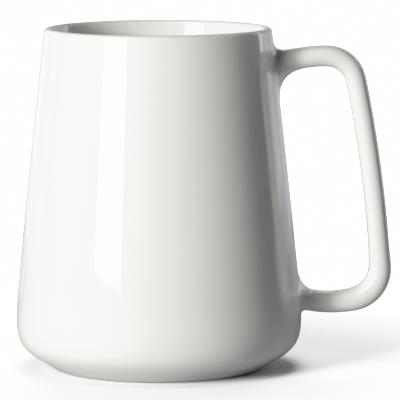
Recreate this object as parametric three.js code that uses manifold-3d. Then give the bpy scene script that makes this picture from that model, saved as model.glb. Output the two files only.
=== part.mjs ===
// Large glazed stoneware mug with a squared strap handle.
//
// The mug is made the way a pottery makes it. The body is one hollow clay form: a wall that leans
// in from a rounded base corner to a thin round lip, and a floor over a foot ring. The handle is a
// strap cast on its own. Each of its two ends is cut to the curve of the wall and set there on
// a bed of soft clay slip, which is worked out round the root into a fillet.
//
// Millimetres, +Z up. The handle points along +X. The mug stands on z = 0, and the origin is the
// middle of its footprint, handle included.
import * as THREE from 'three';
import { mergeVertices } from 'three/addons/utils/BufferGeometryUtils.js';
import Module from 'manifold-3d';

const degrees = Math.PI / 180;

// Body
const bodyHeight = 127;
const rimDiameter = 84.9;          // outside of the lip, where its round meets the wall
const shoulderDiameter = 104.5;    // outside, where the leaning wall meets the base corner
const shoulderHeight = 34;
const wallBow = 0.2;               // how far the middle of the wall stands out from a straight cone
const footDiameter = 77.5;
const bevelAngle = 31 * degrees;   // the base corner leaves the foot at this angle to the table
const bevelReach = 16.8;           // how far the corner follows that angle, as a curve handle
const shoulderReach = 27.5;        // how far the corner follows the wall, as a curve handle
const lipThickness = 3.1;
const lipFlare = 9 * degrees;      // the inside opens by this much off plumb just under the lip
const lipTaper = 11;               // below the lip's centre the wall thickens over this height
const flareReachShare = 0.5;       // of the taper, over which it follows the flare, as a curve handle
const wallReachShare = 0.3;        // of the taper, over which it follows the wall, as a curve handle
const wallThickness = 4.8;
const floorThickness = 5.2;
const cavityCornerRadius = 12;
const footRecess = 1.8;            // the underside inside the foot ring is hollowed by this much
const footRingWidth = 4;
const recessSlope = 1.2;           // the foot ring's inner face leans by this much over the recess

// Handle strap, along its centre line
const upperJoinDrop = 14.2;        // from the top of the lip down to the middle of the upper join
const lowerJoinHeight = 25.4;      // from the table up to the middle of the lower join
const upperBarLength = 19.5;
const riseAtWall = 21.6 * degrees;         // the upper bar leaves the wall rising by this much,
const fallAtUpperCorner = 1.3 * degrees;   // and enters its corner just falling
const upperCornerRadius = 11.1;
const gripLeanTop = 11.7 * degrees;
const gripLeanBottom = 3.3 * degrees;
const lowerCornerRadius = 12.4;
const fallAtLowerCorner = 12.3 * degrees;  // the lower bar leaves its corner falling by this much,
const riseToWall = 15.3 * degrees;         // and comes to the wall rising
const strapWidth = 14;
const strapThickness = 7.7;
const upperRootThickness = 9.5;
const upperRootTaper = 11.4;       // along the strap, over which the upper root thins to the strap
const upperCornerThickness = 8;
const upperCornerTaper = 10;       // along the strap, to each side of the corner's middle
const lowerCornerThickness = 8.7;
const lowerCornerTaper = 19.6;

// Joins
const joinGap = 0.3;               // between the clay pieces and the slip that holds them
const slipBed = 0.6;               // thickness of the slip under the end of the strap
const slipEdge = 0.5;              // thickness of the worked slip at the rim of its fillet
const upperFilletAbove = 4.4;
const upperFilletBelow = 9;
const lowerFilletAbove = 7.5;
const lowerFilletBelow = 2.4;
const sideFillet = 3;
const rootOverrun = 3;             // pieces run this far past the wall face before they are cut

// Facets
const turnSteps = 72;
const cornerSteps = 10;
const wallSteps = 5;
const lipSteps = 6;
const taperSteps = 4;
const cavitySteps = 5;
const sectionSteps = 20;
const barSteps = 5;
const bendSteps = 9;
const gripSteps = 10;
const filletSteps = 5;
const wallSearchSteps = 12;        // rounds of closing in on the wall along a line
const sectionPower = 3.6;          // how square the strap's flanks are; its edges are half round

const glaze = { color: 0xf4f4f1, roughness: 0.12, metalness: 0 };

const rimRadius = rimDiameter / 2;
const shoulderRadius = shoulderDiameter / 2;
const footRadius = footDiameter / 2;
const lipRadius = lipThickness / 2;
const lipCentre = new THREE.Vector2(rimRadius - lipRadius, bodyHeight - lipRadius);
const floorHeight = footRecess + floorThickness;

// Outline of the body

const wallFoot = new THREE.Vector2(shoulderRadius, shoulderHeight);
const wallTop = new THREE.Vector2(rimRadius, lipCentre.y);
const wallUp = wallTop.clone().sub(wallFoot).normalize();
const wallOut = new THREE.Vector2(wallUp.y, -wallUp.x);

function outsideCurve() {
  const bevelEnd = new THREE.Vector2(
    footRadius + bevelReach * Math.cos(bevelAngle),
    bevelReach * Math.sin(bevelAngle)
  );
  const middle = wallFoot.clone().lerp(wallTop, 1 / 2).addScaledVector(wallOut, 2 * wallBow);
  const upAtFoot = middle.clone().sub(wallFoot).normalize();
  const shoulderEnd = wallFoot.clone().addScaledVector(upAtFoot, -shoulderReach);
  const corner = new THREE.CubicBezierCurve(
    new THREE.Vector2(footRadius, 0), bevelEnd, shoulderEnd, wallFoot
  );
  const wall = new THREE.QuadraticBezierCurve(wallFoot, middle, wallTop);
  return [...corner.getPoints(cornerSteps), ...wall.getPoints(wallSteps).slice(1)];
}

function lipCurve() {
  return Array.from({ length: lipSteps }, (_, i) => {
    const turn = (Math.PI - lipFlare) * (i + 1) / lipSteps;
    const out = new THREE.Vector2(Math.cos(turn), Math.sin(turn));
    return lipCentre.clone().addScaledVector(out, lipRadius);
  });
}

// The cavity wall stands the wall's thickness inside the outer one. Under the lip it draws back in
// a soft curve, so that the lip is thinner than the wall and opens a little.
function cavityCurve() {
  const insideFoot = wallFoot.clone().addScaledVector(wallOut, -wallThickness);
  const atHeight = (z) => insideFoot.clone().addScaledVector(wallUp, (z - insideFoot.y) / wallUp.y);
  const lip = lipCurve();
  const lipInside = lip[lip.length - 1];
  const flareDown = new THREE.Vector2(-Math.sin(lipFlare), -Math.cos(lipFlare));
  const taperEnd = atHeight(lipCentre.y - lipTaper);
  const taper = new THREE.CubicBezierCurve(
    lipInside,
    lipInside.clone().addScaledVector(flareDown, lipTaper * flareReachShare),
    taperEnd.clone().addScaledVector(wallUp, lipTaper * wallReachShare),
    taperEnd
  );
  const onFloor = atHeight(floorHeight);
  const cornerTop = atHeight(floorHeight + cavityCornerRadius);
  const cornerFoot = new THREE.Vector2(onFloor.x - cavityCornerRadius, floorHeight);
  const corner = new THREE.QuadraticBezierCurve(cornerTop, onFloor, cornerFoot);
  return [...taper.getPoints(taperSteps).slice(1), ...corner.getPoints(cavitySteps)];
}

const outside = outsideCurve();

function bodyProfile() {
  const ringInside = footRadius - footRingWidth;
  return [
    new THREE.Vector2(0, footRecess),
    new THREE.Vector2(ringInside - recessSlope, footRecess),
    new THREE.Vector2(ringInside, 0),
    ...outside,
    ...lipCurve(),
    ...cavityCurve(),
    new THREE.Vector2(0, floorHeight)
  ];
}

// The body's outside as a solid plug, grown by a distance all over. Pieces that seat on the wall
// are cut by it.
function bodyPlug(grow) {
  const grown = outside.map((point, i) => {
    const before = outside[Math.max(i - 1, 0)];
    const after = outside[Math.min(i + 1, outside.length - 1)];
    const along = after.clone().sub(before).normalize();
    return point.clone().addScaledVector(new THREE.Vector2(along.y, -along.x), grow);
  });
  const top = grown[grown.length - 1].y;
  return revolve([new THREE.Vector2(0, grown[0].y), ...grown, new THREE.Vector2(0, top)]);
}

// Radius of the outside at a height, read off the outline between its points.
function wallRadius(z) {
  const next = Math.max(1, outside.findIndex((point, i) => i > 0 && point.y >= z));
  const low = outside[next - 1];
  const high = outside[next];
  return low.x + (high.x - low.x) * (z - low.y) / (high.y - low.y);
}

// Geometry helpers

function revolve(profile) {
  return new THREE.LatheGeometry(profile, turnSteps).rotateX(Math.PI / 2);
}

// A closed skin over a row of rings with the same count of points, with a fan at each end.
function loft(rings) {
  const count = rings[0].length;
  const points = rings.flat();
  const middleOf = (ring) => ring
    .reduce((sum, point) => sum.add(point), new THREE.Vector3())
    .divideScalar(count);
  const firstMiddle = points.push(middleOf(rings[0])) - 1;
  const lastMiddle = points.push(middleOf(rings[rings.length - 1])) - 1;
  const lastRing = (rings.length - 1) * count;
  const faces = [];
  for (let k = 0; k < count; k++) {
    const next = (k + 1) % count;
    for (let i = 0; i < rings.length - 1; i++) {
      const near = i * count;
      const far = near + count;
      faces.push(near + k, near + next, far + next, near + k, far + next, far + k);
    }
    faces.push(firstMiddle, next, k, lastMiddle, lastRing + k, lastRing + next);
  }
  const geometry = new THREE.BufferGeometry().setFromPoints(points);
  geometry.setIndex(faces);
  return geometry;
}

const wasm = await Module();
wasm.setup();

function toSolid(geometry) {
  const bare = geometry.clone();
  bare.deleteAttribute('normal');
  bare.deleteAttribute('uv');
  const merged = mergeVertices(bare);
  return new wasm.Manifold(new wasm.Mesh({
    numProp: 3,
    vertProperties: merged.getAttribute('position').array,
    triVerts: Uint32Array.from(merged.getIndex().array)
  }));
}

function toGeometry(solid) {
  const mesh = solid.getMesh();
  const geometry = new THREE.BufferGeometry();
  geometry.setAttribute('position', new THREE.BufferAttribute(mesh.vertProperties, 3));
  geometry.setIndex(new THREE.BufferAttribute(mesh.triVerts, 1));
  geometry.computeVertexNormals();
  return geometry;
}

// Centre line of the strap: a humped bar out of the wall, a corner, a bowed grip, a corner and
// a dipped bar back to the wall. Each stretch is an arc, given by its length and the heading at its
// ends, where 0 points away from the body and a quarter turn points up.

// The way from end to end of an arc, as a share of the arc's length.
function arcWay(start, end) {
  const turn = end - start;
  const chordShare = turn === 0 ? 1 : Math.sin(turn / 2) / (turn / 2);
  const middle = (start + end) / 2;
  return new THREE.Vector2(Math.cos(middle), Math.sin(middle)).multiplyScalar(chordShare);
}

function arcOffset(length, start, end) {
  return arcWay(start, end).multiplyScalar(length);
}

// The grip and the lower bar are as long as brings the end of the strap to its join on the wall.
function strapStretches() {
  const straightDown = -Math.PI / 2;
  const headings = [
    riseAtWall,
    -fallAtUpperCorner,
    straightDown + gripLeanTop,
    straightDown + gripLeanBottom,
    fallAtLowerCorner - Math.PI,
    -riseToWall - Math.PI
  ];
  const upperBend = upperCornerRadius * (headings[1] - headings[2]);
  const lowerBend = lowerCornerRadius * (headings[3] - headings[4]);
  const upperHeight = bodyHeight - upperJoinDrop;
  const start = new THREE.Vector2(wallRadius(upperHeight), upperHeight);
  const rest = new THREE.Vector2(wallRadius(lowerJoinHeight), lowerJoinHeight)
    .sub(start)
    .sub(arcOffset(upperBarLength, headings[0], headings[1]))
    .sub(arcOffset(upperBend, headings[1], headings[2]))
    .sub(arcOffset(lowerBend, headings[3], headings[4]));
  const gripWay = arcWay(headings[2], headings[3]);
  const barWay = arcWay(headings[4], headings[5]);
  const gripLength = rest.cross(barWay) / gripWay.cross(barWay);
  const lowerBarLength = gripWay.cross(rest) / gripWay.cross(barWay);
  return { start, headings, lengths: [upperBarLength, upperBend, gripLength, lowerBend, lowerBarLength] };
}

// Stations along the centre line, each a place, a heading and the distance from the upper wall,
// and the distances at which the two corners have their middles.
function strapStations() {
  const { start, headings, lengths } = strapStretches();
  const steps = [barSteps, bendSteps, gripSteps, bendSteps, barSteps];
  const stations = [{ place: start.clone(), heading: headings[0], distance: 0 }];
  let corner = start.clone();
  let passed = 0;
  lengths.forEach((length, stretch) => {
    const from = headings[stretch];
    const to = headings[stretch + 1];
    for (let i = 1; i <= steps[stretch]; i++) {
      const share = i / steps[stretch];
      const heading = from + (to - from) * share;
      const place = corner.clone().add(arcOffset(length * share, from, heading));
      stations.push({ place, heading, distance: passed + length * share });
    }
    corner = stations[stations.length - 1].place.clone();
    passed += length;
  });
  const upperBendMiddle = lengths[0] + lengths[1] / 2;
  const lowerBendMiddle = lengths[0] + lengths[1] + lengths[2] + lengths[3] / 2;
  return { stations, upperBendMiddle, lowerBendMiddle };
}

const { stations, upperBendMiddle, lowerBendMiddle } = strapStations();

// A smooth hump: 1 at nothing, 0 at the reach and beyond.
function hump(distance, reach) {
  const share = Math.min(Math.abs(distance) / reach, 1);
  return (1 + Math.cos(Math.PI * share)) / 2;
}

function halfThickness(distance) {
  return (strapThickness
    + (upperRootThickness - strapThickness) * hump(distance, upperRootTaper)
    + (upperCornerThickness - strapThickness) * hump(distance - upperBendMiddle, upperCornerTaper)
    + (lowerCornerThickness - strapThickness) * hump(distance - lowerBendMiddle, lowerCornerTaper)) / 2;
}

// One point of the strap's section: flat flanks that face into and out of the finger gap, and half
// round edges. The turn starts at the outer flank.
function sectionPoint(station, turn, grow) {
  const side = Math.sign(Math.sin(turn)) * Math.abs(Math.sin(turn)) ** (2 / sectionPower);
  const out = (halfThickness(station.distance) + grow) * Math.cos(turn);
  const across = (strapWidth / 2 + grow) * side;
  return new THREE.Vector3(
    station.place.x - out * Math.sin(station.heading),
    -across,
    station.place.y + out * Math.cos(station.heading)
  );
}

const sectionTurns = Array.from({ length: sectionSteps }, (_, i) => 2 * Math.PI * i / sectionSteps);

function shifted(station, distance) {
  const ahead = new THREE.Vector2(Math.cos(station.heading), Math.sin(station.heading));
  return { ...station, place: station.place.clone().addScaledVector(ahead, distance) };
}

const upperEnd = stations[0];
const lowerEnd = stations[stations.length - 1];

function strapSolid(grow) {
  const run = [shifted(upperEnd, -rootOverrun), ...stations, shifted(lowerEnd, rootOverrun)];
  const ring = (station) => sectionTurns.map((turn) => sectionPoint(station, turn, grow));
  return toSolid(loft(run.map(ring)));
}

// The end of the strap is cut to the wall, with room for the slip bed and a gap to each side of it.
const strapSeat = joinGap + slipBed + joinGap;

function handleSolid() {
  return strapSolid(0).subtract(toSolid(bodyPlug(strapSeat)));
}

// A point moved along a line until it lies on the body's outside.
function onWall(point, along) {
  const found = point.clone();
  for (let i = 0; i < wallSearchSteps; i++) {
    const radius = Math.hypot(found.x, found.y);
    const miss = wallRadius(found.z) - radius;
    found.addScaledVector(along, miss / (along.x * found.x / radius));
  }
  return found;
}

// The slip fillet round one end of the strap. Every line of it is a curve from the strap to the
// wall that leaves each of them along its face, with its corner where the two faces would meet.
function filletSolid(end, towardWall, above, below) {
  const toWall = new THREE.Vector3(Math.cos(end.heading), 0, Math.sin(end.heading))
    .multiplyScalar(towardWall);
  const middle = new THREE.Vector3(end.place.x, 0, end.place.y);
  const proud = joinGap + slipEdge;
  const lift = toWall.clone().multiplyScalar(-proud);
  const lines = sectionTurns.map((turn) => {
    const face = sectionPoint(end, turn, proud);
    const outward = face.clone().sub(middle).normalize();
    const size = sideFillet
      + (above - sideFillet) * Math.max(outward.z, 0) ** 2
      + (below - sideFillet) * Math.max(-outward.z, 0) ** 2;
    const root = onWall(face, toWall);
    const onStrap = root.clone().addScaledVector(toWall, -size);
    const spread = onWall(root.clone().addScaledVector(outward, size), toWall);
    return [onStrap, root, spread].map((point) => point.add(lift));
  });
  const rings = Array.from({ length: filletSteps + 1 }, (_, i) => {
    const share = i / filletSteps;
    return lines.map(([onStrap, root, spread]) => onStrap.clone().multiplyScalar((1 - share) ** 2)
      .addScaledVector(root, 2 * share * (1 - share))
      .addScaledVector(spread, share ** 2));
  });
  rings.push(lines.map(([, , spread]) => spread.clone().addScaledVector(toWall, proud + rootOverrun)));
  if (towardWall < 0) rings.reverse();
  const strapRoom = strapSolid(joinGap).subtract(toSolid(bodyPlug(joinGap + slipBed)));
  return toSolid(loft(rings)).subtract(toSolid(bodyPlug(joinGap))).subtract(strapRoom);
}

function clayPiece(name, geometry) {
  const piece = new THREE.Mesh(geometry, new THREE.MeshStandardMaterial(glaze));
  piece.name = name;
  return piece;
}

const upperFillet = filletSolid(upperEnd, -1, upperFilletAbove, upperFilletBelow);
const lowerFillet = filletSolid(lowerEnd, 1, lowerFilletAbove, lowerFilletBelow);

const mug = new THREE.Group();
mug.add(
  clayPiece('mug_body', revolve(bodyProfile())),
  clayPiece('handle', toGeometry(handleSolid())),
  clayPiece('upper_slip_fillet', toGeometry(upperFillet)),
  clayPiece('lower_slip_fillet', toGeometry(lowerFillet))
);

// The origin is the middle of the footprint.
const footprint = new THREE.Box3().setFromObject(mug);
mug.position.x = -(footprint.min.x + footprint.max.x) / 2;

const part = new THREE.Group();
part.add(mug);

export default part;
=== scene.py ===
# White glazed stoneware mug with a squared strap handle.
#
# The clay is shaped by the same sizes as the construction model: a turned body, a strap handle that
# follows a line of bows and bends, and the worked slip round both ends of the strap. Everything is
# in metres in the model's own frame, so each piece lies where its node lies.
import math

import bpy
import numpy as np
from mathutils import Matrix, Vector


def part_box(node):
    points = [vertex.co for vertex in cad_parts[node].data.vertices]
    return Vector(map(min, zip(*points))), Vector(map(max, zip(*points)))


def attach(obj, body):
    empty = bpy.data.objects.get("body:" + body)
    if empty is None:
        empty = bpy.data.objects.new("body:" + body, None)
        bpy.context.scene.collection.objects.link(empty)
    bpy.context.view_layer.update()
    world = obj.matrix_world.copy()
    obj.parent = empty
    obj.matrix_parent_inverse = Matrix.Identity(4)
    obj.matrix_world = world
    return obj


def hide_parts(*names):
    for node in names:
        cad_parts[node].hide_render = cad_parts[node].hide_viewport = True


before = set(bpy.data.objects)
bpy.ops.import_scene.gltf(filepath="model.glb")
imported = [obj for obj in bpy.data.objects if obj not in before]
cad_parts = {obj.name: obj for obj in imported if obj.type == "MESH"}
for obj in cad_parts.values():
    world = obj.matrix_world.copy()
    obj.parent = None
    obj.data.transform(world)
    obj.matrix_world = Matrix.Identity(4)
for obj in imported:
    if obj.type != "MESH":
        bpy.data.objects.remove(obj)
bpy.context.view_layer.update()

mm = 0.001
degree = math.pi / 180
bodyLow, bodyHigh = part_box("mug_body")
axisX = (bodyLow.x + bodyHigh.x) / 2  # the mug's own axis stands here, upright
print("frame loaded, mug axis at x = %.2f mm" % (axisX / mm))


# Mesh helpers


def gridMesh(name, rings, firstPole, lastPole):
    # rings[i, k] is point k of ring i; each ring closes on itself and the poles close the ends with
    # fans. The faces are turned so that the volume, the sum of a . (b x c) / 6, is positive.
    rows, columns = rings.shape[:2]
    points = np.vstack([rings.reshape(-1, 3), firstPole, lastPole])
    pole = rows * columns
    i, k = np.meshgrid(np.arange(rows - 1), np.arange(columns), indexing="ij")
    after = (k + 1) % columns
    up = i + 1
    quads = np.stack([i * columns + k, i * columns + after, up * columns + after, up * columns + k], -1)
    quads = quads.reshape(-1, 4)
    k, after = k[0], after[0]
    last = pole - columns
    below = np.stack([np.full(columns, pole), after, k], -1)
    above = np.stack([np.full(columns, pole + 1), last + k, last + after], -1)
    fans = np.vstack([below, above])
    triangles = np.vstack([quads[:, [0, 1, 2]], quads[:, [0, 2, 3]], fans])
    a, b, c = points[triangles[:, 0]], points[triangles[:, 1]], points[triangles[:, 2]]
    if np.einsum("ij,ij->", a, np.cross(b, c)) < 0:
        quads = quads[:, ::-1]
        fans = fans[:, ::-1]
    corners = np.concatenate([quads.ravel(), fans.ravel()])
    sizes = np.concatenate([np.full(len(quads), 4), np.full(len(fans), 3)])
    mesh = bpy.data.meshes.new(name)
    mesh.vertices.add(len(points))
    mesh.vertices.foreach_set("co", points.ravel())
    mesh.loops.add(len(corners))
    mesh.loops.foreach_set("vertex_index", corners)
    mesh.polygons.add(len(sizes))
    mesh.polygons.foreach_set("loop_start", np.cumsum(sizes) - sizes)
    mesh.polygons.foreach_set("use_smooth", np.ones(len(sizes), bool))
    mesh.update(calc_edges=True)
    mesh.validate()
    piece = bpy.data.objects.new(name, mesh)
    bpy.context.scene.collection.objects.link(piece)
    return piece


def addPiece(piece, node, material):
    # gives a piece its glaze and puts it in the place of a node of the model
    piece.data.materials.append(material)
    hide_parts(node)
    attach(piece, "root")
    print("%s: %d points" % (piece.name, len(piece.data.vertices)))


def bernstein(corners, t):
    # sum over k of C(n, k) (1 - t)^(n - k) t^k corner_k
    n = len(corners) - 1
    return sum(math.comb(n, k) * (1 - t) ** (n - k) * t**k * corners[k] for k in range(n + 1))


def bezier(corners, steps):
    # the curve of these corners, for t from 0 to 1 in even steps
    return bernstein(np.array(corners, float), np.linspace(0, 1, steps + 1)[:, None])


def unit(vectors):
    # each vector over its own length
    return vectors / np.linalg.norm(vectors, axis=-1, keepdims=True)


# Body

body = {
    "height": bodyHigh.z,
    "rimDiameter": 84.9 * mm,
    "shoulderDiameter": 104.5 * mm,
    "shoulderHeight": 34 * mm,  # where the base corner ends and the wall begins
    "wallBow": 0.2 * mm,
    "footDiameter": 77.5 * mm,
    "bevelAngle": 31 * degree,  # the base corner leaves the foot at this angle to the table
    "bevelReach": 16.8 * mm,
    "shoulderReach": 27.5 * mm,
    "lipThickness": 3.1 * mm,
    "lipFlare": 9 * degree,  # the inside opens by this much off plumb just under the lip
    "lipTaper": 11 * mm,  # below the lip's centre the wall thickens over this height
    "flareReach": 0.5,  # share of the taper over which it follows the flare
    "wallReach": 0.3,  # share of the taper over which it follows the wall
    "wallThickness": 4.8 * mm,
    "floorThickness": 5.2 * mm,
    "cavityCorner": 12 * mm,
    "footRecess": 1.8 * mm,
    "footRingWidth": 4 * mm,
    "recessSlope": 1.2 * mm,  # the ring's inner side leans in by this over the depth of the recess
    "footSoftness": 0.6 * mm,  # reach of the round on the edges of the foot ring
    "recessSoftness": 1.2 * mm,  # and on the inner corner of the recess
    "turnSteps": 256,
    "cornerSteps": 56,
    "wallSteps": 48,
    "lipSteps": 18,
    "cavitySteps": 24,
    "softSteps": 4,
}


def softCorner(before, corner, after, reach):
    # a quadratic curve that leaves and joins its two lines at the reach from their corner
    before, corner, after = (np.array(point, float) for point in (before, corner, after))
    start = corner + unit(before - corner) * reach
    end = corner + unit(after - corner) * reach
    return bezier([start, corner, end], body["softSteps"])


rimRadius = body["rimDiameter"] / 2
shoulderRadius = body["shoulderDiameter"] / 2
footRadius = body["footDiameter"] / 2
lipRadius = body["lipThickness"] / 2
lipCentre = np.array([rimRadius - lipRadius, body["height"] - lipRadius])
floorHeight = body["footRecess"] + body["floorThickness"]

wallFoot = np.array([shoulderRadius, body["shoulderHeight"]])
wallTop = np.array([rimRadius, lipCentre[1]])
wallUp = unit(wallTop - wallFoot)
wallOut = np.array([wallUp[1], -wallUp[0]])


def outsideCurve():
    # (radius, height) up the outside: a cubic curve round the base corner, then a quadratic one
    # that stands out by the bow half way up the wall
    middle = (wallFoot + wallTop) / 2 + wallOut * 2 * body["wallBow"]
    bevel = np.array([math.cos(body["bevelAngle"]), math.sin(body["bevelAngle"])])
    footEnd = np.array([footRadius, 0])
    bevelEnd = footEnd + bevel * body["bevelReach"]
    shoulderEnd = wallFoot - unit(middle - wallFoot) * body["shoulderReach"]
    corner = bezier([footEnd, bevelEnd, shoulderEnd, wallFoot], body["cornerSteps"])
    wall = bezier([wallFoot, middle, wallTop], body["wallSteps"])
    return np.vstack([corner, wall[1:]])


outside = outsideCurve()


def cavityCurve(lipInside):
    # (radius, height) down the inside: a cubic curve from the flare under the lip into the inner
    # wall, which runs beside the outer one, then a quadratic curve into the floor
    insideFoot = wallFoot - wallOut * body["wallThickness"]

    def atHeight(z):
        # the point of the inner wall's straight line at height z
        return insideFoot + wallUp * (z - insideFoot[1]) / wallUp[1]

    flareDown = -np.array([math.sin(body["lipFlare"]), math.cos(body["lipFlare"])])
    taperEnd = atHeight(lipCentre[1] - body["lipTaper"])
    underLip = lipInside + flareDown * body["lipTaper"] * body["flareReach"]
    aboveWall = taperEnd + wallUp * body["lipTaper"] * body["wallReach"]
    taper = bezier([lipInside, underLip, aboveWall, taperEnd], body["lipSteps"])
    cornerTop = atHeight(floorHeight + body["cavityCorner"])
    onFloor = atHeight(floorHeight)
    cornerFoot = onFloor - [body["cavityCorner"], 0]
    wall = bezier([taperEnd, cornerTop], body["wallSteps"])
    corner = bezier([cornerTop, onFloor, cornerFoot], body["cavitySteps"])
    return np.vstack([taper[1:], wall[1:], corner[1:]])


def bodyProfile():
    # (radius, height) from the middle of the underside round the foot, wall, lip and cavity
    ringInside = footRadius - body["footRingWidth"]
    recessEnd = [ringInside - body["recessSlope"], body["footRecess"]]
    soft = body["footSoftness"]
    recess = softCorner([0, body["footRecess"]], recessEnd, [ringInside, 0], body["recessSoftness"])
    ring = softCorner(recessEnd, [ringInside, 0], [footRadius, 0], soft)
    foot = softCorner([ringInside, 0], [footRadius, 0], outside[1], soft)
    lean = math.atan2(-wallUp[0], wallUp[1])
    turn = np.linspace(lean, math.pi - body["lipFlare"], body["lipSteps"] + 1)
    lip = lipCentre + lipRadius * np.stack([np.cos(turn), np.sin(turn)], -1)
    cavity = cavityCurve(lip[-1])
    steps = body["cavitySteps"]
    under = bezier([[recess[0, 0] / steps, body["footRecess"]], recess[0]], steps)
    floor = bezier([cavity[-1], [cavity[-1, 0] / steps, floorHeight]], steps)
    return np.vstack([under[:-1], recess, ring, foot, outside[1:], lip, cavity, floor[1:]])


def turned(profile, steps):
    # (axis + r cos v, r sin v, z) for every (r, z) of the profile and every turn v
    v = np.arange(steps) * 2 * math.pi / steps
    r, z = profile[:, :1], profile[:, 1:]
    return np.stack([axisX + r * np.cos(v), r * np.sin(v), z + 0 * v], -1)


def makeBody():
    # the profile turned round the mug's axis, closed at both ends on that axis
    poles = ([axisX, 0, body["footRecess"]], [axisX, 0, floorHeight])
    return gridMesh("mugBody", turned(bodyProfile(), body["turnSteps"]), *poles)


def wallRadius(z):
    # the radius of the outside at height z, read between the points of the outline
    return np.interp(z, outside[:, 1], outside[:, 0])


def wallNormal(points):
    # the outline's tangent turned outwards, carried round the axis to each point
    tangent = np.gradient(outside, axis=0)
    z = points[..., 2]
    up = np.interp(z, outside[:, 1], tangent[:, 1])
    out = np.interp(z, outside[:, 1], tangent[:, 0])
    x, y = points[..., 0] - axisX, points[..., 1]
    radius = np.hypot(x, y)
    return unit(np.stack([up * x / radius, up * y / radius, -out], -1))


# Handle

handle = {
    "upperJoinDrop": 14.2 * mm,  # from the top of the lip to the middle of the upper join
    "lowerJoinHeight": 25.4 * mm,
    "upperBar": 19.5 * mm,
    "riseAtWall": 21.6 * degree,
    "riseAtCorner": -1.3 * degree,
    "upperCorner": 11.1 * mm,
    "gripLeanTop": 11.7 * degree,
    "gripLeanBottom": 3.3 * degree,
    "lowerCorner": 12.4 * mm,
    "fallAtCorner": 12.3 * degree,  # the lower bar leaves its corner falling, and dips
    "riseToWall": 15.3 * degree,
    "width": 14 * mm,
    "thickness": 7.7 * mm,
    "upperRootThickness": 9.5 * mm,
    "upperRootTaper": 11.4 * mm,
    "upperCornerThickness": 8 * mm,
    "upperCornerTaper": 10 * mm,
    "lowerCornerThickness": 8.7 * mm,
    "lowerCornerTaper": 19.6 * mm,
    "power": 3.6,  # how square the flanks are; the edges are half round
    "ease": 6 * mm,  # bends ease in and out over this length of strap
    "pace": 0.25 * mm,  # step of the centre line
    "rows": 260,
    "sectionSteps": 96,
    "fineSteps": 19200,  # steps in which the section's outline is walked to space its points evenly
    "rounds": 12,  # rounds in which a length along the strap is closed in on
    "cutReach": 7 * mm,  # the ends of the strap are bent to the wall within this length
    "bed": 0.6 * mm,  # slip between the end of the strap and the wall
}

upperHeight = body["height"] - handle["upperJoinDrop"]
down = -90 * degree
turns = np.array(
    [
        handle["riseAtWall"],
        handle["riseAtCorner"],
        down + handle["gripLeanTop"],
        down + handle["gripLeanBottom"],
        2 * down + handle["fallAtCorner"],
        2 * down - handle["riseToWall"],
        2 * down - handle["riseToWall"],
    ]
)
upperBend = handle["upperCorner"] * (turns[1] - turns[2])
lowerBend = handle["lowerCorner"] * (turns[3] - turns[4])


def walkStrap(grip, lowerBar):
    # The heading h(s) runs evenly from turn to turn and is eased by a bell-shaped average. The
    # place is the start plus the sum of ds (cos h, sin h).
    lengths = [0, handle["upperBar"], upperBend, grip, lowerBend, lowerBar, handle["ease"]]
    knots = np.cumsum(lengths)
    s = np.arange(0, knots[-1], handle["pace"])
    margin = round(handle["ease"] / handle["pace"]) // 2
    bell = np.hanning(2 * margin + 3)[1:-1]  # without its two ends, which are zero
    padded = np.pad(np.interp(s, knots, turns), margin, mode="reflect", reflect_type="odd")
    heading = np.convolve(padded, bell / bell.sum(), "valid")
    between = (heading[1:] + heading[:-1]) / 2
    x = axisX + wallRadius(upperHeight) + np.append(0, np.cumsum(np.cos(between))) * handle["pace"]
    z = upperHeight + np.append(0, np.cumsum(np.sin(between))) * handle["pace"]
    return s, x, z, heading


def fitStrap():
    # the grip and the lower bar are as long as brings the end of the strap to its join on the wall
    endX, endZ = axisX + wallRadius(handle["lowerJoinHeight"]), handle["lowerJoinHeight"]
    grip, lowerBar = upperHeight - endZ, handle["upperBar"]
    for _ in range(handle["rounds"]):
        s, x, z, _ = walkStrap(grip, lowerBar)
        end = handle["upperBar"] + upperBend + grip + lowerBend + lowerBar
        grip += np.interp(end, s, z) - endZ
        lowerBar += np.interp(end, s, x) - endX
    return grip, lowerBar


gripLength, lowerBarLength = fitStrap()
walked, walkedX, walkedZ, walkedHeading = walkStrap(gripLength, lowerBarLength)
strapLength = handle["upperBar"] + upperBend + gripLength + lowerBend + lowerBarLength
print("strap %.1f mm long, grip %.1f mm" % (strapLength / mm, gripLength / mm))
upperCornerAt = handle["upperBar"] + upperBend / 2
lowerCornerAt = handle["upperBar"] + upperBend + gripLength + lowerBend / 2


def hump(distance, reach):
    # (1 + cos(pi d / reach)) / 2 within the reach, 0 beyond
    return (1 + np.cos(math.pi * np.minimum(np.abs(distance) / reach, 1))) / 2


def halfThickness(s):
    # (plain + the sum of (thick - plain) hump(s - at)) / 2: the strap is thicker at its upper root
    # and in its two corners
    plain = handle["thickness"]
    rootExtra = handle["upperRootThickness"] - plain
    upperExtra = handle["upperCornerThickness"] - plain
    lowerExtra = handle["lowerCornerThickness"] - plain
    root = rootExtra * hump(s, handle["upperRootTaper"])
    upper = upperExtra * hump(s - upperCornerAt, handle["upperCornerTaper"])
    lower = lowerExtra * hump(s - lowerCornerAt, handle["lowerCornerTaper"])
    return (plain + root + upper + lower) / 2


def sectionOutline():
    # |out|^2 + |across|^power = 1, with its points an even walk apart on a strap of real size
    turn = np.linspace(0, 2 * math.pi, handle["fineSteps"] + 1)
    out = np.cos(turn)
    across = np.sign(np.sin(turn)) * np.abs(np.sin(turn)) ** (2 / handle["power"])
    steps = np.hypot(np.diff(out) * handle["thickness"], np.diff(across) * handle["width"])
    path = np.append(0, np.cumsum(steps))
    even = np.arange(handle["sectionSteps"]) * path[-1] / handle["sectionSteps"]
    return np.interp(even, path, out), np.interp(even, path, across)


sectionOut, sectionAcross = sectionOutline()


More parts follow.
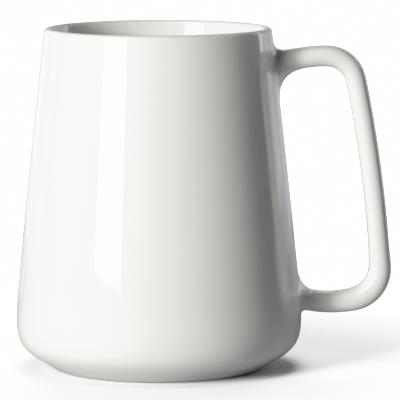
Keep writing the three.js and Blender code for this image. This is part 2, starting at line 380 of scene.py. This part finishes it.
def strapPoint(s, out, across):
    # C(s) + out a(s) N(s) - across b Y, with N the heading turned a quarter up and Y the width.
    # Before the start and past the end the strap runs on straight.
    held = np.clip(s, 0, strapLength)
    heading = np.interp(held, walked, walkedHeading)
    lift = out * halfThickness(held)
    x = np.interp(held, walked, walkedX) + (s - held) * np.cos(heading) - lift * np.sin(heading)
    z = np.interp(held, walked, walkedZ) + (s - held) * np.sin(heading) + lift * np.cos(heading)
    return np.stack([x, -across * handle["width"] / 2 + 0 * s, z], -1)


def reachWall(s, out, across, gap):
    # how far down the strap a line of it comes to stand the gap off the wall, closed in on by
    # stepping along the strap by what is missing
    side = np.sign(strapLength / 2 - s)
    for _ in range(handle["rounds"]):
        point = strapPoint(s, out, across)
        x, y = point[..., 0] - axisX, point[..., 1]
        radius = np.hypot(x, y)
        miss = wallRadius(point[..., 2]) + gap - radius
        s = s + side * miss / np.abs(x / radius)
    return s


def makeHandle():
    # The outline carried along the centre line in even steps of s. At a distance d from an end, s is
    # moved by (1 - d / reach) of what leaves just the bed between that end and the wall.
    even = np.linspace(0, strapLength, handle["rows"])[:, None]
    out, across = sectionOut[None, :], sectionAcross[None, :]
    startCut = reachWall(0 * sectionOut, sectionOut, sectionAcross, handle["bed"])
    endCut = reachWall(strapLength + 0 * sectionOut, sectionOut, sectionAcross, handle["bed"])
    nearStart = np.clip(1 - even / handle["cutReach"], 0, 1)
    nearEnd = np.clip(1 - (strapLength - even) / handle["cutReach"], 0, 1)
    s = even + nearStart * startCut + nearEnd * (endCut - strapLength)
    rings = strapPoint(s, out, across)
    return gridMesh("strapHandle", rings, rings[0].mean(0), rings[-1].mean(0))


# Slip worked round the two joins

joins = {  # the end of the strap, 0 or 1, and how far the slip reaches above and below it
    "upperSlipFillet": {"end": 0, "above": 4.4 * mm, "below": 9 * mm},
    "lowerSlipFillet": {"end": 1, "above": 7.5 * mm, "below": 2.4 * mm},
}
slip = {
    "side": 3 * mm,  # reach of the fillet at the flanks of the strap
    "proud": 0.012 * mm,  # the worked slip stands over strap and wall by this
    "pull": 0.64,  # how far the fillet's handles reach to the corner
    "look": 1 * mm,  # the run of the strap is read over this length
    "rows": 40,
}


def toTheWall(points):
    # moved straight in or out from the axis until they lie on the wall
    flat = points * [1, 1, 0] - [axisX, 0, 0]
    radius = np.linalg.norm(flat, axis=-1, keepdims=True)
    return points + flat / radius * (wallRadius(points[..., 2:]) - radius)


def makeFillet(name):
    # Each line of the fillet is a cubic curve from the strap to the wall that leaves each of them
    # along its face. Its reach is side + (above - side) up^2, with below for above under the strap,
    # and up from 1 at the top of the strap to 0 at its flanks. The back of the slip lies on the
    # wall, and its bed under the end of the strap.
    join = joins[name]
    atStart = join["end"] == 0
    endAt = 0 * sectionOut if atStart else strapLength + 0 * sectionOut
    away = 1 if atStart else -1
    rootAt = reachWall(endAt, sectionOut, sectionAcross, 0)
    bedAt = reachWall(endAt, sectionOut, sectionAcross, handle["bed"])
    root = strapPoint(rootAt, sectionOut, sectionAcross)
    middleAt = reachWall(endAt[:1], 0 * endAt[:1], 0 * endAt[:1], 0)
    middle = strapPoint(middleAt, 0 * middleAt, 0 * middleAt)
    outward = unit((root - middle) * [0, 1, 1])
    up = outward[:, 2]
    size = slip["side"] + (join["above"] - slip["side"]) * np.maximum(up, 0) ** 2
    size = size + (join["below"] - slip["side"]) * np.maximum(-up, 0) ** 2
    strapAt = rootAt + away * size
    onStrap = strapPoint(strapAt, sectionOut, sectionAcross)
    spread = toTheWall(root + outward * size[:, None])
    fromStrap = unit(strapPoint(strapAt - away * slip["look"], sectionOut, sectionAcross) - onStrap)
    normal = wallNormal(spread)
    toRoot = root - spread
    fromWall = unit(toRoot - normal * np.sum(toRoot * normal, -1, keepdims=True))
    pull = slip["pull"] * size[:, None]
    t = np.linspace(0, 1, slip["rows"] + 1)[:, None, None]
    t = t * t * (3 - 2 * t)  # the rows crowd towards both edges of the fillet
    face = bernstein([onStrap, onStrap + fromStrap * pull, spread + fromWall * pull, spread], t)
    face = face + unit(normal + outward) * slip["proud"]
    bedEdge = strapPoint(bedAt, sectionOut, sectionAcross)
    rings = np.concatenate([bedEdge[None], face, root[None]])
    poles = (bedEdge.mean(0), root.mean(0))
    return gridMesh(name, rings, *poles)


# Shader tools


class Wire:
    # One output of a shader tree. Sums on wires add Math nodes, as in 1 - wire * 0.5.
    def __init__(self, tree, socket):
        self.tree = tree
        self.socket = socket

    def math(self, operation, first, second=0.0):
        settings = {"operation": operation}
        return addNode(self.tree, "ShaderNodeMath", settings, {0: first, 1: second}, "Value")

    def __add__(self, other):
        return self.math("ADD", self, other)

    def __radd__(self, other):
        return self.math("ADD", other, self)

    def __sub__(self, other):
        return self.math("SUBTRACT", self, other)

    def __rsub__(self, other):
        return self.math("SUBTRACT", other, self)

    def __mul__(self, other):
        return self.math("MULTIPLY", self, other)

    def __rmul__(self, other):
        return self.math("MULTIPLY", other, self)

    def __truediv__(self, other):
        return self.math("DIVIDE", self, other)

    def __rtruediv__(self, other):
        return self.math("DIVIDE", other, self)


def addNode(tree, kind, settings, sockets, output=0):
    # any node: its settings first, then a value or a wire for each socket; gives back one output,
    # or the node where it has none
    node = tree.nodes.new(kind)
    for name, value in settings.items():
        setattr(node, name, value)
    for name, value in sockets.items():
        if isinstance(value, Wire):
            tree.links.new(value.socket, node.inputs[name])
        else:
            node.inputs[name].default_value = value
    return Wire(tree, node.outputs[output]) if len(node.outputs) else node


def newMaterial(name):
    material = bpy.data.materials.new(name)
    material.use_nodes = True
    material.node_tree.nodes.clear()
    return material, material.node_tree


def ramp(tree, value, low, high):
    # 0 below low, 1 above high, a smooth step between
    settings = {"interpolation_type": "SMOOTHSTEP"}
    sockets = {"Value": value, "From Min": low, "From Max": high}
    return addNode(tree, "ShaderNodeMapRange", settings, sockets)


def mixColour(tree, share, first, second):
    # sockets 6 and 7 and output 2 of a Mix node are its colours
    settings = {"data_type": "RGBA"}
    return addNode(tree, "ShaderNodeMix", settings, {0: share, 6: first, 7: second}, 2)


def noise(tree, place, size, detail):
    # clouds of this size, in metres, from 0 to 1
    sockets = {"Vector": place, "Scale": 1 / size, "Detail": detail}
    return addNode(tree, "ShaderNodeTexNoise", {}, sockets)


def placeFromAxis(tree):
    # the place on the piece, measured from the foot of the mug's axis
    place = addNode(tree, "ShaderNodeTexCoord", {}, {}, "Object")
    return addNode(tree, "ShaderNodeMapping", {}, {"Vector": place, "Location": (-axisX, 0, 0)})


# Glaze

glaze = {
    "thick": (0.90, 0.895, 0.865, 1),
    "thin": (0.83, 0.80, 0.755, 1),  # where it drew back from an edge and the clay warms it
    "pooled": (0.885, 0.89, 0.87, 1),  # where it ran together, a little cooler
    "bare": (0.60, 0.545, 0.47, 1),  # the foot ring, wiped clean before firing
    "roughness": 0.03,
    "thinRoughness": 0.05,  # what thin glaze adds to it
    "ior": 1.5,
    "cloudSize": 60 * mm,  # the glaze is a little thicker and thinner in broad clouds
    "cloudDetail": 2,
    "cloudShare": 0.12,
    "waveSize": 14 * mm,  # it followed the turned clay in a slow wave
    "waveDetail": 1,
    "waveDepth": 0.012 * mm,
    "peelSize": 1.6 * mm,
    "peelDetail": 2,
    "peelDepth": 0.0004 * mm,
    "lipReach": 1.2 * mm,  # the glaze drew back from the crest of the lip, down to here
    "edgeFrom": 0.86,  # share of the half width at which the flank of the strap turns into its edge
    "edgeShare": 0.15,
    "poolReach": 9 * mm,  # it ran together up to this height over the floor of the cup
    "poolFrom": 47 * mm,  # radius at which the pooled corner ends, inside the outer wall
    "poolTo": 48.5 * mm,
    "joinShare": 0.6,  # least share of pooled glaze on the joins, and what clouds add to it
    "joinCloudShare": 0.4,
    "joinCloudSize": 9 * mm,
    "joinCloudDetail": 1,
    "bareRoughness": 0.78,
    "bareTop": 0.5 * mm,  # the wiped ring reaches this far up the foot
    "bareBlur": 0.25 * mm,
    "raggedSize": 2.1 * mm,  # the line that it was wiped to is uneven at this scale
    "raggedDetail": 3,
    "grainSize": 0.35 * mm,
    "grainDetail": 4,
    "grainDepth": 0.03 * mm,
    "grainShare": 0.3,
}


def coordinate(tree, place, axis):
    # X, Y or Z of a place
    return addNode(tree, "ShaderNodeSeparateXYZ", {}, {"Vector": place}, axis)


def fromAxis(tree, place):
    # the distance from the mug's axis, as the length of (x, y, 0)
    flat = addNode(tree, "ShaderNodeVectorMath", {"operation": "MULTIPLY"}, {0: place, 1: (1, 1, 0)})
    return addNode(tree, "ShaderNodeVectorMath", {"operation": "LENGTH"}, {0: flat}, "Value")


def lipPlace(tree, place):
    # 1 on the crest of the lip, 0 below it
    height = coordinate(tree, place, "Z")
    return ramp(tree, height, body["height"] - glaze["lipReach"], body["height"])


def edgePlace(tree, place):
    # 1 along the two rounded edges of the strap, where its flanks turn away
    across = coordinate(tree, place, "Y")
    across = across.math("ABSOLUTE", across) / (handle["width"] / 2)
    return ramp(tree, across, glaze["edgeFrom"], 1.0) * glaze["edgeShare"]


def wipedPlace(tree, place):
    # 1 on the ring that stands on the table and a little way up its two sides, with a ragged edge
    height = coordinate(tree, place, "Z")
    ragged = noise(tree, place, glaze["raggedSize"], glaze["raggedDetail"]) * glaze["bareBlur"]
    low = 1 - ramp(tree, height + ragged, glaze["bareTop"], glaze["bareTop"] + glaze["bareBlur"])
    ringInside = footRadius - body["footRingWidth"]
    return low * ramp(tree, fromAxis(tree, place), ringInside - body["recessSlope"], ringInside)


def cornerPlace(tree, place):
    # 1 low in the wall's inner corner with the floor, where the glaze ran together
    height = coordinate(tree, place, "Z")
    low = 1 - ramp(tree, height, floorHeight, floorHeight + glaze["poolReach"])
    inside = 1 - ramp(tree, fromAxis(tree, place), glaze["poolFrom"], glaze["poolTo"])
    return low * inside * ramp(tree, height, body["footRecess"], floorHeight)


def joinPlace(tree, place):
    # pooled all over the slip, more and less in clouds of its own
    cloud = noise(tree, place, glaze["joinCloudSize"], glaze["joinCloudDetail"])
    return glaze["joinShare"] + glaze["joinCloudShare"] * cloud


def makeGlaze(name, thinPlace=None, pooledPlace=None, barePlace=None):
    # White glaze over pale clay. Its colour goes from thick to thin, pooled and bare by masks, where
    # a piece has such places.
    material, tree = newMaterial(name)
    place = placeFromAxis(tree)
    cloud = noise(tree, place, glaze["cloudSize"], glaze["cloudDetail"])
    wave = noise(tree, place, glaze["waveSize"], glaze["waveDetail"])
    peel = noise(tree, place, glaze["peelSize"], glaze["peelDetail"])
    thin = cloud * glaze["cloudShare"]
    if thinPlace:
        thin = thin + thinPlace(tree, place)
    colour = mixColour(tree, thin, glaze["thick"], glaze["thin"])
    rough = glaze["roughness"] + thin * glaze["thinRoughness"]
    height = wave * glaze["waveDepth"] + peel * glaze["peelDepth"]
    if pooledPlace:
        colour = mixColour(tree, pooledPlace(tree, place), colour, glaze["pooled"])
    if barePlace:
        bare = barePlace(tree, place)
        grain = noise(tree, place, glaze["grainSize"], glaze["grainDetail"])
        colour = mixColour(tree, bare * (1 - grain * glaze["grainShare"]), colour, glaze["bare"])
        rough = rough + bare * (glaze["bareRoughness"] - glaze["roughness"])
        height = height + bare * grain * glaze["grainDepth"]
    bump = addNode(tree, "ShaderNodeBump", {}, {"Height": height, "Strength": 1.0, "Distance": 1.0})
    sockets = {"Base Color": colour, "Roughness": rough, "IOR": glaze["ior"], "Normal": bump}
    shader = addNode(tree, "ShaderNodeBsdfPrincipled", {}, sockets)
    addNode(tree, "ShaderNodeOutputMaterial", {}, {"Surface": shader})
    return material


bodyGlaze = makeGlaze("bodyGlaze", lipPlace, cornerPlace, wipedPlace)
handleGlaze = makeGlaze("handleGlaze", thinPlace=edgePlace)
joinGlaze = makeGlaze("joinGlaze", pooledPlace=joinPlace)

addPiece(makeBody(), "mug_body", bodyGlaze)
addPiece(makeHandle(), "handle", handleGlaze)
addPiece(makeFillet("upperSlipFillet"), "upper_slip_fillet", joinGlaze)
addPiece(makeFillet("lowerSlipFillet"), "lower_slip_fillet", joinGlaze)


# Camera, at the photograph's viewing angle

view = {
    "azimuth": 0 * degree,  # how far the camera stands round the mug from square to the handle
    "distance": 1.300,
    "height": 221.93 * mm,
    "pitch": 0.1221,  # down, in radians, as are the next two
    "yaw": 0.0119,
    "roll": -0.0023,
    "lens": 315.6,
    "sensor": 36,
    "clipEnd": 50,
}


def around(azimuth, distance, height):
    # a place in the studio, turned about the mug from the side that the camera stands on
    a = azimuth + view["azimuth"]
    return axisX + distance * math.sin(a), -distance * math.cos(a), height


def makeCamera():
    camera = bpy.data.objects.new("camera", bpy.data.cameras.new("camera"))
    camera.data.lens = view["lens"]
    camera.data.sensor_width = view["sensor"]
    camera.data.clip_end = view["clipEnd"]
    camera.location = around(0, view["distance"], view["height"])
    turn = Matrix.Rotation(view["azimuth"] - view["yaw"], 4, "Z")
    turn = turn @ Matrix.Rotation(90 * degree - view["pitch"], 4, "X")
    turn = turn @ Matrix.Rotation(view["roll"], 4, "Z")
    camera.rotation_euler = turn.to_euler()
    bpy.context.scene.collection.objects.link(camera)
    bpy.context.scene.camera = camera


makeCamera()
print("camera set")


# Studio

studio = {
    "floorRadius": 1.4,
    "discSteps": 96,
    "floorColour": (0.915, 0.915, 0.925, 1),
    "whiteFrom": 0.075,  # the floor runs out into white between these distances from the axis
    "whiteTo": 0.24,
    "white": 2.0,  # how bright that white and the backdrop are
    "bounceColour": (0.62, 0.63, 0.64, 1),  # the card under the floor, which lights the mug from below
    "bounceRadius": 1.0,
    "bounceDrop": 0.2 * mm,
    "keyAzimuth": -42 * degree,
    "keyDistance": 1.2,
    "keyWidth": 0.5,
    "keyHeight": 1.6,
    "keyLow": 0.08,  # height of its lower edge
    "keyPower": 15.1,
    "sheetReach": (0.25, 0.6, 1.5, 1.5),  # the rows of a sheet: near edge, middle, bend and top
    "sheetRise": (-0.1 * mm, -0.1 * mm, -0.1 * mm, 1.0),
    "sheetSteps": 24,
    "lyingRows": 2,  # this many rows of a sheet lie on the table
    "sheets": [  # from and to, in degrees round the mug, then the glow between the rows
        (112, 120, (0.4, 0.6, 0)),
        (120, 128, (0.4, 0.6, 2.48)),
        (128, 140, (0.1, 0.38, 1.31)),
        (140, 160, (0.1, 0.38, 0.74)),
        (160, 200, (0.13, 0.38, 0.5)),
        (200, 220, (0.45, 0.89, 1.31)),
        (220, 244, (0, 0.5, 0.73)),
    ],
    "warm": (1.0, 0.995, 0.98),  # light on the side of the key
    "cool": (0.96, 1.0, 1.03),  # light from behind, and the glow of the sheets
    "plain": (1.0, 1.0, 1.0),  # light on the floor
    # name, azimuth and elevation in degrees, size, power and colour of each soft lamp
    "fills": [("keyFill", -42, 12, 0.25, 22.3, "warm")],
    "farFills": [("backFill", 135, 40, 0.8, 3.4, "cool"), ("farFill", 180, 15, 0.4, 8.0, "cool")],
    "fillDistance": 2.0,
    "floorLamps": [
        ("floorKey", -42, 25, 0.5, 30.2, "plain"),
        ("floorLow", -42, 12, 0.25, 13.0, "plain"),
        ("floorBack", 180, 60, 0.8, 14.8, "plain"),
        ("floorTop", 0, 80, 0.5, 6.0, "plain"),
    ],
    "floorLampDistance": 1.6,
    # points of the tone curve: light in the scene, and what the picture shows of it
    "shoulder": [(0.72, 0.72), (0.89, 0.84), (0.957, 0.89), (1.02, 0.91), (1.12, 0.94), (1.3, 0.985)],
    "shoulderEnd": (1.6, 1.0),
    "allColours": 3,  # the number of the curve that holds for red, green and blue together
}


def stageMesh(name, points, faces, material):
    # a mesh that belongs to the studio and not to the mug
    mesh = bpy.data.meshes.new(name)
    mesh.from_pydata(points, [], faces)
    mesh.materials.append(material)
    thing = bpy.data.objects.new(name, mesh)
    bpy.context.scene.collection.objects.link(thing)
    return thing


def plainMaterial(name, kind, sockets):
    material, tree = newMaterial(name)
    shader = addNode(tree, kind, {}, sockets)
    addNode(tree, "ShaderNodeOutputMaterial", {}, {"Surface": shader})
    return material


def disc(radius, z):
    # (axis + radius cos v, radius sin v, z) for every turn v
    v = np.arange(studio["discSteps"]) * 2 * math.pi / studio["discSteps"]
    points = np.stack([axisX + radius * np.cos(v), radius * np.sin(v), z + 0 * v], -1)
    return points.tolist(), [tuple(range(len(v)))]


def floorPaper():
    # matt paper under the mug that runs out into white all round
    material, tree = newMaterial("floorPaper")
    place = placeFromAxis(tree)
    distance = addNode(tree, "ShaderNodeVectorMath", {"operation": "LENGTH"}, {0: place}, "Value")
    white = ramp(tree, distance, studio["whiteFrom"], studio["whiteTo"])
    paper = addNode(tree, "ShaderNodeBsdfDiffuse", {}, {"Color": studio["floorColour"]})
    glow = addNode(tree, "ShaderNodeEmission", {}, {"Strength": studio["white"]})
    shader = addNode(tree, "ShaderNodeMixShader", {}, {0: white, 1: paper, 2: glow})
    addNode(tree, "ShaderNodeOutputMaterial", {}, {"Surface": shader})
    return material


def makeFloor():
    # the floor that the camera alone sees, and the card just under it that the mug is lit from
    floor = stageMesh("floor", *disc(studio["floorRadius"], 0), floorPaper())
    floor.visible_diffuse = False
    floor.visible_glossy = False
    floor.visible_shadow = False
    card = plainMaterial("bounceCard", "ShaderNodeBsdfDiffuse", {"Color": studio["bounceColour"]})
    bounce = stageMesh("bounce", *disc(studio["bounceRadius"], -studio["bounceDrop"]), card)
    bounce.visible_camera = False
    return floor, bounce


def gather(name, things):
    # a collection outside the scene, which lamps are linked to
    group = bpy.data.collections.new(name)
    for thing in things:
        group.objects.link(thing)
    return group


def makeLamp(name, width, height, power):
    lamp = bpy.data.lights.new(name, "AREA")
    lamp.shape = "RECTANGLE"
    lamp.size = width
    lamp.size_y = height
    lamp.energy = power
    thing = bpy.data.objects.new(name, lamp)
    thing.visible_camera = False
    bpy.context.scene.collection.objects.link(thing)
    return thing


def makeKey(lit):
    # the tall lamp in front at the left, which the glaze mirrors as its long bright stripe
    middle = studio["keyLow"] + studio["keyHeight"] / 2
    a = studio["keyAzimuth"]
    key = makeLamp("key", studio["keyWidth"], studio["keyHeight"], studio["keyPower"])
    key.location = around(a, studio["keyDistance"], middle)
    key.rotation_euler = (90 * degree, 0, a + view["azimuth"])
    key.data.color = studio["warm"]
    key.light_linking.receiver_collection = lit


def makeLamps(rows, distance, lit, shading):
    # soft lamps that the glaze doesn't mirror, all turned to the foot of the mug
    for name, azimuth, elevation, size, power, colour in rows:
        lamp = makeLamp(name, size, size, power)
        e = elevation * degree
        lamp.location = around(azimuth * degree, distance * math.cos(e), distance * math.sin(e))
        lamp.rotation_euler = (90 * degree - e, 0, azimuth * degree + view["azimuth"])
        lamp.visible_glossy = False
        lamp.data.color = studio[colour]
        lamp.light_linking.receiver_collection = lit
        lamp.light_linking.blocker_collection = shading


def lightMug(bounce):
    # The key and the fill beside it light the mug and the card under it, and the lamps behind light
    # the mug alone. None of them lights the floor, and the standing sheets don't shade the soft ones.
    pieces = [bpy.data.objects[name] for name in ("mugBody", "strapHandle", *joins)]
    lit = gather("litMug", [*pieces, bounce])
    makeKey(lit)
    makeLamps(studio["fills"], studio["fillDistance"], lit, lit)
    mugAlone = gather("litFromBehind", pieces)
    makeLamps(studio["farFills"], studio["fillDistance"], mugAlone, mugAlone)


def lightFloor(floor):
    # these light the floor alone, and only the body of the mug shades it from them
    lit = gather("litFloor", [floor])
    shading = gather("shadingFloor", [bpy.data.objects["mugBody"]])
    makeLamps(studio["floorLamps"], studio["floorLampDistance"], lit, shading)


def litPaper(glow, lying):
    # paper that glows; where it lies on the table it throws the other light back as well
    material, tree = newMaterial("litPaper")
    sockets = {"Color": (*studio["cool"], 1), "Strength": glow}
    shader = addNode(tree, "ShaderNodeEmission", {}, sockets)
    if lying:
        paper = addNode(tree, "ShaderNodeBsdfDiffuse", {}, {"Color": studio["bounceColour"]})
        shader = addNode(tree, "ShaderNodeAddShader", {}, {0: paper, 1: shader})
    addNode(tree, "ShaderNodeOutputMaterial", {}, {"Surface": shader})
    return material


def makeSheets():
    # Lit sheets behind the mug, which the glaze mirrors but the camera doesn't see. Each one lies on
    # the table from its near edge to its bend and stands up from there: its points are
    # (axis + reach sin a, -reach cos a, rise) for every angle a and every row.
    reach, rise = (np.array(studio[key])[:, None] for key in ("sheetReach", "sheetRise"))
    for number, (start, end, glows) in enumerate(studio["sheets"]):
        a = np.linspace(start, end, studio["sheetSteps"] + 1)[None, :] * degree + view["azimuth"]
        points = np.stack([axisX + reach * np.sin(a), -reach * np.cos(a), rise + 0 * a], -1)
        first = np.arange(a.size - 1)
        faces = np.stack([first, first + 1, first + 1 + a.size, first + a.size], -1)
        for row, glow in enumerate(glows):
            strip = points[row : row + 2].reshape(-1, 3)
            name = "sheet%d.%d" % (number, row)
            paper = litPaper(glow, row < studio["lyingRows"])
            sheet = stageMesh(name, strip.tolist(), faces.tolist(), paper)
            sheet.visible_camera = False


def makeWorld():
    # a white backdrop for the camera alone, which neither lights the mug nor shows in its glaze
    world = bpy.data.worlds.new("white")
    world.use_nodes = True
    backdrop = world.node_tree.nodes["Background"]
    backdrop.inputs["Color"].default_value = (1, 1, 1, 1)
    backdrop.inputs["Strength"].default_value = studio["white"]
    world.cycles_visibility.diffuse = False
    world.cycles_visibility.glossy = False
    bpy.context.scene.world = world


def setTone():
    # a soft shoulder, so that pale glaze keeps its shading just under white
    tone = bpy.context.scene.view_settings
    tone.view_transform = "Standard"
    tone.use_curve_mapping = True
    tone.curve_mapping.clip_max_x = studio["shoulderEnd"][0]
    curve = tone.curve_mapping.curves[studio["allColours"]]
    curve.points[1].location = studio["shoulderEnd"]
    for x, y in studio["shoulder"]:
        curve.points.new(x, y)
    tone.curve_mapping.update()


floor, bounce = makeFloor()
lightMug(bounce)
lightFloor(floor)
makeSheets()
makeWorld()
setTone()
print("studio set")
